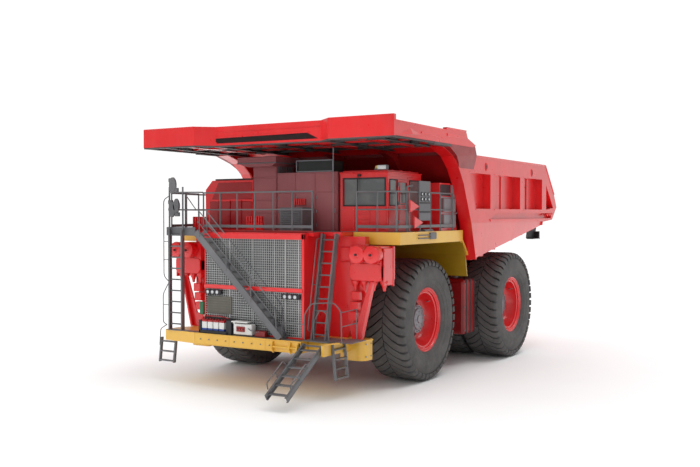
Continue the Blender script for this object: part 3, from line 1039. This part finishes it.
def air_cleaner(s, side):
    k = Kit()
    X = lambda v: s * v
    for x in (3.33, 3.83):
        k.turned([(0.30, 0.0), (0.30, 0.262), (0.22, 0.268), (0.03, 0.268), (0.0, 0.255), (-0.012, 0.22), (-0.012, 0.10), (-0.03, 0.085), (-0.03, 0.0)],
                 (X(x), -3.64, 4.29), "y", 36, closed=False)
        k.turned([(0.06, 0.262), (0.06, 0.278), (0.085, 0.278), (0.085, 0.262)], (X(x), -3.64, 4.29), "y", 36)
    k.plate("xz", [(X(2.94), 3.60), (X(3.04), 3.49), (X(3.95), 3.49), (X(4.03), 3.60), (X(4.03), 3.94), (X(3.95), 4.02), (X(3.04), 4.02), (X(2.94), 3.94)], -3.40, -3.0, 0.015)
    k.box(X(2.94), X(4.03), -3.36, -2.46, 3.50, 4.54, 0.02)
    k.box(X(2.50), X(2.96), -3.20, -2.60, 4.05, 4.50, 0.03)
    k.done("air_canisters_" + side, RED, "chassis", "red_paint", ["air_cleaner_" + side])
    n = Kit()
    for x in (3.33, 3.83):
        n.turned([(-0.075, 0.0), (-0.075, 0.035), (-0.03, 0.045), (-0.025, 0.06), (-0.025, 0.0)], (X(x), -3.64, 4.29), "y", 6, closed=False, smooth=False)
    n.done("air_nuts_" + side, DARK, "chassis", "dark_paint")
    c = Kit()                                   # dust cups under the cleaner
    for x, y in ((3.06, -3.22), (3.38, -3.22), (3.70, -3.22), (4.00, -3.10)):
        c.turned([(0.0, 0.0), (0.0, 0.13), (-0.06, 0.135), (-0.16, 0.075), (-0.24, 0.05), (-0.31, 0.045), (-0.33, 0.0)], (X(x), y, 3.50), "z", 24, closed=False)
        c.turned([(-0.03, 0.13), (-0.03, 0.145), (-0.05, 0.145), (-0.05, 0.13)], (X(x), y, 3.50), "z", 24)
    c.done("dust_cups_" + side, RED, "chassis", "red_paint")
    p = Kit()                                   # panel on the outer side and its braces
    p.box(X(4.06), X(4.10), -3.30, -2.72, 3.36, 4.48, 0.015)
    p.box(X(4.02), X(4.12), -2.74, -2.68, 3.32, 4.52, 0.012)
    p.bolts([(X(4.10), y, z) for y in (-3.25, -2.79) for z in (3.45, 3.95, 4.40)], (s, 0, 0), 0.014, 0.012)
    p.done("air_side_" + side, RED, "chassis", "red_paint")
    q = Kit()                                   # stacked covers and the slanted strut down to the bumper
    for i in range(3):
        z = 3.16 - 0.31 * i
        x = 3.13 - 0.045 * i
        q.box(X(x - 0.15), X(x + 0.15), -3.36, -3.18, z - 0.27, z, 0.02)
    q.plate("xz", [(X(3.60), 3.48), (X(3.76), 3.48), (X(3.34), 1.70), (X(2.98), 1.70), (X(2.90), 2.10), (X(3.18), 2.16)], -3.30, -3.24, 0.01)
    q.plate("xz", [(X(3.70), 3.48), (X(3.78), 3.48), (X(3.36), 1.70), (X(3.28), 1.70)], -3.42, -3.22, 0.01)
    q.done("air_struts_" + side, RED, "chassis", "red_paint")


for s, side in ((1, "left"), (-1, "right")):
    air_cleaner(s, side)

# ---------------------------------------------------------------- grille surround


def mesh_wide():
    """The outer bands of mesh that carry on over the housing's border, and the dark core behind them."""
    b = Kit()
    b.plate("xz", [(-1.96, 1.76), (1.82, 1.76), (1.84, 4.74), (-1.98, 4.74)], -4.262, -4.254, 0.002)
    b.done("grille_back", IRON, "chassis", "engine_iron")
    k = Kit()
    y = -4.275
    x0, x1, z0, z1 = -1.95, 1.82, 1.77, 4.73
    n = int(round((x1 - x0) / 0.0745))
    for i in range(n + 1):
        x = x0 + (x1 - x0) * i / n
        k.box(x - 0.0085, x + 0.0085, y - 0.006, y + 0.016, z0, z1, 0.0)
    m = int(round((z1 - z0) / 0.0745))
    for i in range(m + 1):
        z = z0 + (z1 - z0) * i / m
        k.box(x0, x1, y - 0.014, y - 0.002, z - 0.0085, z + 0.0085, 0.0)
    k.done("grille_mesh", MESH_STEEL, "chassis", "grey_steel")
    f = Kit()
    for x in (-0.95, -0.02, 0.80, 1.22, 1.70):
        f.box(x - 0.018, x + 0.018, y - 0.030, y - 0.006, z0, z1, 0.005)
    f.done("grille_bars", MESH_STEEL, "chassis", "grey_steel")
    m = Kit()
    m.box(-1.98, 1.86, -4.34, -4.262, 3.12, 3.25, 0.012)
    m.box(-1.98, -1.93, -4.30, -4.22, 1.76, 4.76, 0.01)
    m.box(1.80, 1.90, -4.31, -4.22, 1.74, 4.90, 0.012)
    m.box(-2.0, 1.90, -4.31, -4.22, 4.73, 4.90, 0.012)
    m.bolts([(-1.9 + 0.42 * i, -4.308, 4.82) for i in range(9)], (0, -1, 0), 0.016, 0.014)
    m.done("grille_frame", RED, "chassis", "red_paint")
    c = Kit()
    c.box(-1.90, -1.24, -4.40, -4.26, 2.94, 3.09, 0.02)
    c.box(1.12, 1.78, -4.40, -4.26, 2.92, 3.07, 0.02)
    c.done("lamp_boxes", DARK, "chassis", "dark_paint")
    lamps, rings = Kit(), Kit()
    for x, z in ((-1.76, 3.015), (-1.57, 3.015), (-1.38, 3.015), (1.26, 2.995), (1.45, 2.995), (1.64, 2.995)):
        lamps.turned([(0.0, 0.0), (-0.012, 0.03), (-0.004, 0.052), (0.02, 0.053), (0.02, 0.0)], (x, -4.405, z), "y", 20, closed=False)
        rings.turned([(0.0, 0.053), (-0.02, 0.053), (-0.02, 0.064), (0.0, 0.066)], (x, -4.40, z), "y", 20)
    lamps.done("lamps_grille", LAMP, "chassis", "window_glass")
    rings.done("lamp_rings_grille", STEEL, "chassis", "grey_steel")
    p = Kit()                                   # grey service panel over the mesh
    p.box(-1.86, -0.86, -4.325, -4.275, 2.32, 2.88, 0.015)
    for i in range(6):
        p.box(-1.80, -0.92, -4.338, -4.32, 2.38 + 0.08 * i, 2.40 + 0.08 * i, 0.004)
    p.done("service_panel", GREY_WARM, "chassis", "grey_steel")
    g = Kit()
    g.box(-2.20, -2.04, -4.30, -4.20, 2.25, 2.66, 0.02)
    g.done("green_unit", GREEN, "chassis", "dark_paint")
    h = Kit()                                   # deck edge beam, grey, over the red band
    h.box(-2.38, 2.05, -4.04, -3.985, 4.94, 5.00, 0.008)
    h.done("deck_edge", RED_DARK, "chassis", "red_paint")


MESH_STEEL = paint("mesh_steel", srgb(190, 190, 190), srgb(160, 162, 162), srgb(190, 186, 180), dusty=0.1, rough=(0.3, 0.42), metallic=0.35, streaks=0.04)
GREY_WARM = paint("grey_warm", srgb(104, 102, 92), srgb(84, 82, 74), srgb(140, 134, 122), dusty=0.2, rough=(0.42, 0.58), streaks=0.12)
mesh_wide()

# ---------------------------------------------------------------- bumper


def bumper():
    g = Kit()                                   # tread plate on top of the bumper, with raised lozenges left to the rows of studs
    g.box(-3.40, 1.95, -4.58, -4.34, 1.700, 1.712, 0.002)
    g.box(2.0, 2.92, -4.50, -3.60, 1.702, 1.730, 0.004)
    g.box(2.95, 3.55, -4.30, -3.40, 1.702, 1.722, 0.004)
    for i in range(9):
        for j in range(9):
            x, y = 2.06 + 0.095 * i, -4.45 + 0.095 * j
            g.box(x - 0.02, x + 0.02, y - 0.006, y + 0.006, 1.728, 1.736, 0.0)
    g.done("bumper_tread", GREY, "chassis", "grey_steel")
    y = Kit()                                   # yellow lips, seam straps and end brackets
    for x in (-2.10, -0.7, 0.7):
        y.box(x - 0.012, x + 0.012, -4.668, -4.64, 1.36, 1.69, 0.004)
    y.box(-2.08, 1.98, -4.672, -4.645, 1.672, 1.706, 0.006)
    y.box(-2.08, 1.98, -4.672, -4.645, 1.344, 1.372, 0.006)
    for x in (1.02, 1.66, 1.94):
        y.plate("yz", [(-4.655, 1.68), (-4.655, 1.30), (-4.72, 1.34), (-4.78, 1.46), (-4.74, 1.62)], x - 0.02, x + 0.02, 0.004)
    y.rod((1.00, -4.72, 1.50), (1.96, -4.72, 1.50), 0.028, 12)
    y.plate("xy", [(2.86, -4.84), (2.96, -4.84), (3.62, -3.10), (3.50, -3.10)], 1.68, 1.715, 0.004)
    y.done("bumper_trim", YELLOW, "chassis", "yellow_paint")
    b = Kit()
    b.bolts([(-3.2 + 0.34 * i, -4.50 if i < 1 else -4.672, 1.52) for i in range(4, 13)], (0, -1, 0), 0.020, 0.018)
    for s in (-1, 1):
        b.bolts([(s * 3.452, yy, zz) for yy in (-3.25, -2.95) for zz in (1.18, 1.56)], (s, 0, 0), 0.024, 0.02)
    b.done("bumper_bolts", STEEL, "chassis", "grey_steel")
    # battery box
    k = Kit()
    k.box(-1.98, -0.78, -4.60, -4.56, 1.72, 1.80, 0.008)
    k.box(-1.98, -1.90, -4.60, -4.34, 1.72, 2.12, 0.01)
    k.box(-0.86, -0.66, -4.60, -4.34, 1.72, 2.16, 0.01)
    k.box(-1.98, -0.66, -4.38, -4.32, 1.72, 2.20, 0.01)
    k.box(-1.98, -0.66, -4.60, -4.32, 1.705, 1.735, 0.006)
    k.done("battery_tray", DARK, "chassis", "dark_paint", ["battery_box"])
    w, c, t = Kit(), Kit(), Kit()
    for i in range(4):
        x = -1.78 + 0.235 * i
        w.box(x - 0.10, x + 0.10, -4.56, -4.40, 1.86, 2.07, 0.01)
        t.box(x - 0.105, x + 0.105, -4.565, -4.395, 1.80, 1.86, 0.008)
        c.box(x - 0.105, x + 0.105, -4.565, -4.395, 2.07, 2.13, 0.012)
        for q in (-0.06, 0.06):
            c.rod((x + q, -4.47, 2.12), (x + q, -4.47, 2.17), 0.025, 10)
    w.done("battery_cases", WHITE, "chassis", "seat_vinyl")
    t.done("battery_bases", BLUE, "chassis", "dark_paint")
    c.tube(soften([(-1.84, -4.47, 2.15), (-1.84, -4.47, 2.24), (-1.2, -4.45, 2.26), (-0.9, -4.42, 2.2)], 0.08), 0.016, 8)
    c.done("battery_caps", RED_DEEP, "chassis", "red_paint")
    u = Kit()                                   # white service unit with a lid and a red manifold
    u.box(-0.60, 0.12, -4.56, -4.34, 1.74, 2.08, 0.02)
    u.box(-0.66, -0.02, -4.60, -4.32, 2.12, 2.16, 0.008)
    u.box(-0.62, -0.54, -4.56, -4.36, 2.08, 2.13, 0.004)
    u.done("service_unit", WHITE, "chassis", "dark_paint")
    v = Kit()
    v.box(-0.46, -0.14, -4.60, -4.55, 1.84, 2.00, 0.012)
    for i in range(3):
        v.rod((-0.40 + 0.1 * i, -4.63, 1.92), (-0.40 + 0.1 * i, -4.59, 1.92), 0.03, 12)
    v.box(0.20, 0.60, -4.52, -4.36, 1.715, 1.90, 0.015)
    v.done("service_manifold", RED_DARK, "chassis", "red_paint")
    z = Kit()
    for i in range(3):
        z.rod((-0.40 + 0.1 * i, -4.645, 1.92), (-0.40 + 0.1 * i, -4.625, 1.92), 0.014, 8)
    z.tube(soften([(0.0, -4.58, 1.96), (0.12, -4.60, 1.90), (0.30, -4.55, 1.86), (0.40, -4.50, 1.88)], 0.05), 0.014, 8)
    z.done("service_fittings", STEEL, "chassis", "grey_steel")


bumper()

# ---------------------------------------------------------------- mast, grab rails and lower ladders


def access():
    k = Kit()
    # mast over the right-hand ladder
    for x in (-3.45, -2.87):
        k.tube([(x, -4.33, 4.95), (x, -4.33, 6.40)], 0.028, 10)
    for z in (5.65, 6.22):
        k.tube([(-3.45, -4.33, z), (-2.87, -4.33, z), (-2.38, -4.12, z), (-2.33, -3.95, z)], 0.022, 8)
    k.tube([(-2.88, -4.24, 6.20), (-2.46, -4.15, 5.65)], 0.016, 8)
    k.tube(soften([(-3.45, -4.36, 6.10), (-3.66, -4.38, 5.98), (-3.66, -4.38, 3.45), (-3.46, -4.40, 3.30)], 0.12), 0.016, 8)
    k.tube(soften([(-3.46, -4.40, 3.20), (-3.66, -4.42, 2.86), (-3.66, -4.42, 1.92), (-3.50, -4.42, 1.84)], 0.10), 0.016, 8)
    k.tube(soften([(-3.50, -4.44, 1.84), (-3.74, -4.46, 1.70), (-3.78, -4.46, 1.16)], 0.08), 0.016, 8)
    for z in (4.6, 4.0, 2.5):
        k.rod((-3.66, -4.38, z), (-3.44, -4.36, z), 0.012, 8)
    k.done("mast_rails", DARK_RAIL, "chassis", "grey_steel")
    m = Kit()                                   # two oval mirrors and a lamp on the mast
    for x, z, w, h in ((-3.22, 6.46, 0.15, 0.26), (-3.25, 5.66, 0.14, 0.26), (-3.06, 5.78, 0.12, 0.24)):
        pts = [(x + w * math.cos(2 * math.pi * i / 20), z + h * math.sin(2 * math.pi * i / 20)) for i in range(20)]
        m.plate("xz", pts, -4.46, -4.38, 0.015)
        m.rod((x, -4.38, z), (x - 0.15, -4.33, z), 0.012, 8)
    for x, z in ((-3.32, 6.62), (-3.10, 6.30), (-3.34, 5.90), (-3.05, 5.50)):
        m.box(x - 0.09, x + 0.09, -4.44, -4.34, z - 0.07, z + 0.07, 0.02)
    m.done("mast_mirrors", GREY, "chassis", "grey_steel")
    p = Kit()                                   # grey edge of the right-hand platform, and green lamp bodies under it
    p.box(-3.64, -2.40, -4.275, -4.235, 4.80, 5.08, 0.008)
    p.box(-3.66, -3.62, -4.25, -2.75, 4.80, 5.06, 0.008)
    p.done("platform_edge", GREY, "chassis", "grey_steel")
    # lower ladders, hung from the bumper at its two ends
    l = Kit()
    for x in (-3.74, -3.12):
        l.plate("yz", [(-4.44, 1.42), (-4.34, 1.42), (-4.44, 0.62), (-4.54, 0.62)], x - 0.03, x + 0.03, 0.006)
    for z in (0.68, 0.98, 1.30):
        yy = -4.44 - (1.42 - z) * 0.125 + 0.05
        l.box(-3.74, -3.12, yy - 0.05, yy + 0.05, z - 0.03, z + 0.015, 0.006)
    l.done("lower_ladder_right", DARK_RAIL, "chassis", "grey_steel")
    r = Kit()
    for y in (-4.42, -3.74):
        r.plate("xz", [(2.93, 1.72), (3.02, 1.72), (3.14, 0.60), (3.05, 0.60)], y - 0.025, y + 0.025, 0.006)
    for i in range(4):
        z = 0.66 + 0.28 * i
        x = 3.09 - 0.03 * i
        r.box(x - 0.05, x + 0.05, -4.42, -3.74, z - 0.03, z + 0.012, 0.006)
    r.done("lower_ladder_left", DARK_RAIL, "chassis", "grey_steel")
    h = Kit()                                   # hoop rails at the foot of the left-hand ladder
    h.tube(soften([(2.00, -4.43, 1.71), (2.00, -4.43, 2.50), (2.25, -4.42, 2.84), (3.02, -4.40, 2.90), (3.26, -4.38, 2.66), (3.28, -4.38, 1.71)], 0.12), 0.018, 8)
    h.tube(soften([(2.33, -4.42, 1.71), (2.33, -4.42, 2.30), (2.56, -4.42, 2.68), (2.80, -4.41, 2.55), (2.86, -4.41, 1.71)], 0.10), 0.015, 8)
    h.tube([(2.00, -4.43, 2.20), (1.30, -4.60, 2.22)], 0.013, 8)
    h.tube([(3.28, -4.38, 2.20), (3.34, -3.62, 2.24), (3.34, -3.62, 1.71)], 0.014, 8)
    h.tube([(3.27, -4.38, 2.62), (3.34, -3.62, 2.66), (3.34, -3.62, 2.24)], 0.014, 8)
    h.tube([(1.30, -4.60, 1.71), (1.30, -4.60, 2.24)], 0.014, 8)
    h.done("hoop_rails", DARK_RAIL, "chassis", "grey_steel")
    y = Kit()                                   # hinge brackets of the swing-down stair
    for x in (1.98, 2.86):
        y.plate("yz", [(-4.25, 1.68), (-4.25, 1.46), (-4.58, 1.48), (-4.68, 1.56), (-4.66, 1.66), (-4.56, 1.70)], x - 0.02, x + 0.02, 0.005)
    y.done("stair_brackets", DARK, "chassis", "dark_paint")


access()


def swing_details():
    k = Kit()
    k.rod((1.97, -4.60, 1.60), (2.93, -4.60, 1.60), 0.026, 12)
    for x in (2.10, 2.80):
        k.turned([(-0.035, 0.026), (-0.035, 0.055), (0.035, 0.055), (0.035, 0.026)], (x, -4.60, 1.60), "x", 20)
    k.done("stair_hinge", STEEL, "swing_stair", "grey_steel")


swing_details()

# ---------------------------------------------------------------- chassis, axles, tanks and hoists


def chassis_details():
    k = Kit()                                   # bolted flanges and gussets on the frame rails
    for s in (-1, 1):
        for i in range(9):
            y = -1.6 + 1.05 * i
            k.box(s * 0.995, s * 1.03, y - 0.05, y + 0.05, 2.42, 3.24, 0.01)
        k.box(s * 0.99, s * 1.06, -2.6, 8.4, 3.245, 3.30, 0.01)
        k.box(s * 0.99, s * 1.06, -2.6, 8.4, 2.35, 2.40, 0.01)
    k.done("rail_flanges", RED, "chassis", "red_paint")
    b = Kit()
    for s in (-1, 1):
        b.bolts([(s * 1.03, -1.6 + 1.05 * i + d, z) for i in range(9) for d in (-0.025, 0.025) for z in (2.55, 2.85, 3.12)], (s, 0, 0), 0.016, 0.014)
    b.done("rail_bolts", STEEL, "chassis", "grey_steel")
    r = Kit()                                   # rear of the frame: hitch block, plate and lamps
    r.box(-0.42, 0.42, 8.72, 8.80, 2.40, 3.10, 0.02)
    r.plate("yz", [(8.78, 2.52), (9.05, 2.58), (9.12, 2.70), (9.05, 2.82), (8.78, 2.88)], -0.16, -0.08, 0.01)
    r.plate("yz", [(8.78, 2.52), (9.05, 2.58), (9.12, 2.70), (9.05, 2.82), (8.78, 2.88)], 0.08, 0.16, 0.01)
    r.rod((-0.22, 9.0, 2.70), (0.22, 9.0, 2.70), 0.05, 16)
    r.done("tow_hitch", DARK, "chassis", "dark_paint")
    l = Kit()
    for s in (-1, 1):
        for z in (2.62, 2.86):
            l.turned([(0.0, 0.0), (0.018, 0.04), (0.012, 0.07), (-0.01, 0.072), (-0.01, 0.0)], (s * 0.60, 8.775, z), "y", 20, closed=False)
    l.done("rear_lamps", LAMP_RED, "chassis", "window_glass")
    m = Kit()
    for s in (-1, 1):
        m.box(s * 0.50, s * 0.70, 8.745, 8.775, 2.50, 2.98, 0.01)
    m.done("rear_lamp_plates", DARK, "chassis", "dark_paint")
    # rear axle: bolted covers, breather and brake lines
    a = Kit()
    a.turned([(0.0, 0.0), (0.0, 0.60), (0.05, 0.62), (0.10, 0.60), (0.16, 0.45), (0.20, 0.20), (0.21, 0.0)], (0.0, WHEELBASE + 0.55, HUB_Z), "y", 40, closed=False)
    for i in range(20):
        t = 2 * math.pi * i / 20
        a.rod((0.54 * math.cos(t), WHEELBASE + 0.63, HUB_Z + 0.54 * math.sin(t)), (0.54 * math.cos(t), WHEELBASE + 0.67, HUB_Z + 0.54 * math.sin(t)), 0.022, 6, smooth=False)
    a.done("axle_cover", DARK, "chassis", "dark_paint")
    # tanks: straps, filler caps, sight glass and steps
    for s, nm in ((1, "left"), (-1, "right")):
        t = Kit()
        for y in (3.22, 3.56, 3.90):
            t.box(s * 3.895, s * 3.915, y - 0.035, y + 0.035, 1.16, 3.14, 0.006)
            t.box(s * 1.56, s * 3.90, y - 0.035, y + 0.035, 3.145, 3.162, 0.005)
        t.done("tank_straps_" + nm, DARK, "chassis", "dark_paint")
        c = Kit()
        c.turned([(0.0, 0.0), (0.0, 0.13), (0.05, 0.13), (0.07, 0.11), (0.07, 0.0)], (s * 3.2, 3.73, 3.15), "z", 28, closed=False)
        c.turned([(0.0, 0.0), (0.0, 0.07), (0.04, 0.07), (0.05, 0.05), (0.05, 0.0)], (s * 2.4, 3.39, 3.15), "z", 24, closed=False)
        c.bolts([(s * 3.90, y, z) for y in (3.08, 4.04) for z in (1.3, 2.15, 3.0)], (s, 0, 0), 0.018, 0.016)
        c.done("tank_caps_" + nm, STEEL, "chassis", "grey_steel")
        # hoist cylinder trim: barrel bands, gland and hoses held to it
        foot, eye = Vector((s * 1.25, 4.50, 1.05)), Vector((s * 1.25, 6.30, 4.10))
        d = (eye - foot).normalized()
        h = Kit()
        for q, r0, w in ((0.55, 0.195, 0.05), (1.6, 0.195, 0.05), (2.60, 0.200, 0.06), (3.02, 0.205, 0.07)):
            p = foot + d * q
            h.rod(p - d * w, p + d * w, r0, 28)
        for off in (-0.05, 0.05):
            p0, p1 = foot + d * 0.5 + Vector((off, 0.20, -0.12)), foot + d * 2.95 + Vector((off, 0.20, -0.12))
            h.tube([p0, p1], 0.018, 8)
        h.done("hoist_bands_" + nm, DARK, "hoist_barrel_" + nm, "dark_paint")
        e = Kit()
        for x in (-0.125, 0.125):
            e.turned([(-0.012, 0.10), (-0.012, 0.155), (0.012, 0.155), (0.012, 0.10)], (s * 1.25 + x, 6.30, 4.10), "x", 28)
        e.done("hoist_eye_" + nm, STEEL, "hoist_rod_" + nm, "grey_steel")
    # front suspension struts' boots and steering cylinders' clamps
    f = Kit()
    for s in (-1, 1):
        for i in range(7):
            z = 2.55 + 0.085 * i
            f.turned([(0.0, 0.17), (0.02, 0.215), (0.04, 0.17)], (s * 1.62, 0.0, z), "z", 28)
    f.done("strut_boots", DARK, "chassis", "dark_paint")
    # engine: rocker covers, pipes and pulleys on the block
    g = Kit()
    for s in (-1, 1):
        for i in range(6):
            y = -1.9 + 0.52 * i
            g.box(s * 0.30, s * 0.72, y, y + 0.42, 4.59, 4.70, 0.03)
    g.turned([(0.0, 0.0), (0.0, 0.34), (0.07, 0.34), (0.08, 0.30), (0.10, 0.12), (0.14, 0.12), (0.14, 0.0)], (0.0, -2.45, 3.75), "y", 36, closed=False)
    g.done("engine_covers", GREY, "chassis", "engine_iron")
    p = Kit()
    for s in (-1, 1):
        p.tube(soften([(s * 1.02, -1.8, 4.1), (s * 1.02, 1.2, 4.1), (s * 1.02, 1.6, 3.75), (s * 1.02, 2.6, 3.6)], 0.2), 0.11, 14)
    p.done("exhaust_pipes", STEEL, "chassis", "grey_steel")
    # deck top: anti-slip strips, hatches and lifting eyes
    t = Kit()
    for y in (-3.0, -2.7, -2.4):
        t.box(-3.5, 1.95, y, y + 0.12, 4.951, 4.958, 0.002)
    for x in (-4.1, 3.75):
        for i in range(7):
            t.box(x - 0.10, x + 0.22, -1.9 + 0.5 * i, -1.55 + 0.5 * i, 4.951, 4.958, 0.002)
    t.box(2.10, 4.1, -2.58, -2.12, 4.951, 4.957, 0.002)
    t.done("deck_strips", DARK_RAIL, "chassis", "grey_steel")
    q = Kit()                                   # floor of the cab, dash and console behind the glass
    q.box(2.0, 3.4, -1.98, -1.60, 5.10, 5.72, 0.04)
    q.tube([(2.80, -1.58, 5.60), (2.80, -1.36, 5.74)], 0.03, 10)
    q.turned([(-0.015, 0.17), (0.0, 0.188), (0.015, 0.17), (0.0, 0.155)], (2.80, -1.34, 5.76), "y", 28)
    q.done("dash", VINYL, "chassis", "seat_vinyl")


chassis_details()


def arch_liners():
    """Black inner skins and brackets that fill the wheel arches behind the front wheels."""
    for s, nm in ((1, "left"), (-1, "right")):
        k = Kit()
        for x in (1.6, 2.9, 4.1):
            k.plate("yz", [(1.84, 4.80), (2.20, 4.08), (2.40, 3.36), (2.44, 3.36), (2.26, 4.12), (1.92, 4.80)], s * (x - 0.03), s * (x + 0.03), 0.006)
        k.done("mudguard_ribs_" + nm, OLIVE, "chassis", "yellow_paint")


arch_liners()

# ---------------------------------------------------------------- floor and light
floor_mesh = bpy.data.meshes.new("floor")
floor_mesh.from_pydata([(-120, -120, -0.002), (120, -120, -0.002), (120, 120, -0.002), (-120, 120, -0.002)], [], [(0, 1, 2, 3)])
floor = bpy.data.objects.new("floor", floor_mesh)
scene.collection.objects.link(floor)
mat, nt, bsdf, vec = tree("floor_white")
nt.links.new(mix(nt, ramp(nt, noise(nt, vec, 0.4, 3.0, 0.5), [(0.3, 0.0), (0.7, 1.0)]), (0.945, 0.95, 0.95), (0.965, 0.97, 0.97)),
             bsdf.inputs["Base Color"])
bsdf.inputs["Roughness"].default_value = 0.9
floor_mesh.materials.append(mat)

world = bpy.data.worlds.new("studio")
scene.world = world
world.use_nodes = True
wn = world.node_tree
wn.nodes.clear()
wout = wn.nodes.new("ShaderNodeOutputWorld")
bg = wn.nodes.new("ShaderNodeBackground")
path = wn.nodes.new("ShaderNodeLightPath")
wcoord = wn.nodes.new("ShaderNodeTexCoord")
wsep = wn.nodes.new("ShaderNodeSeparateXYZ")
wn.links.new(wcoord.outputs["Generated"], wsep.inputs[0])


def wmath(op, a, b):
    m = wn.nodes.new("ShaderNodeMath")
    m.operation = op
    for sock, v in ((m.inputs[0], a), (m.inputs[1], b)):
        if isinstance(v, (int, float)):
            sock.default_value = v
        else:
            wn.links.new(v, sock)
    return m.outputs[0]


# reflections see a studio that is bright behind and to the left of the truck and dim in front of it
side = wmath("ADD", wmath("MULTIPLY", wsep.outputs[0], 0.45), wmath("MULTIPLY", wsep.outputs[1], 0.72))
shine = wmath("MAXIMUM", wmath("ADD", wmath("MULTIPLY", side, 0.50), 0.34), 0.12)
glossy = wmath("MULTIPLY", shine, path.outputs["Is Glossy Ray"])
even = wmath("MAXIMUM", wmath("SUBTRACT", 0.88, wmath("MULTIPLY", wsep.outputs[0], 0.55)), 0.25)
soft = wmath("MULTIPLY", wmath("SUBTRACT", 1.0, path.outputs["Is Glossy Ray"]), even)
light = wmath("ADD", glossy, soft)
seen = wmath("ADD", wmath("MULTIPLY", light, wmath("SUBTRACT", 1.0, path.outputs["Is Camera Ray"])),
             wmath("MULTIPLY", path.outputs["Is Camera Ray"], 1.05))
wn.links.new(seen, bg.inputs["Strength"])
bg.inputs["Color"].default_value = (1.0, 1.0, 1.0, 1.0)
wn.links.new(bg.outputs[0], wout.inputs[0])

sun_data = bpy.data.lights.new("softbox", "SUN")
sun_data.energy = 1.05
sun_data.angle = math.radians(35)
sun = bpy.data.objects.new("softbox", sun_data)
scene.collection.objects.link(sun)
sun.rotation_euler = Vector((-0.20, -0.16, -0.97)).to_track_quat("-Z", "Y").to_euler()
fill_data = bpy.data.lights.new("front_fill", "SUN")
fill_data.energy = 0.30
fill_data.angle = math.radians(60)
fill = bpy.data.objects.new("front_fill", fill_data)
scene.collection.objects.link(fill)
fill.rotation_euler = Vector((-0.10, 0.90, -0.42)).to_track_quat("-Z", "Y").to_euler()
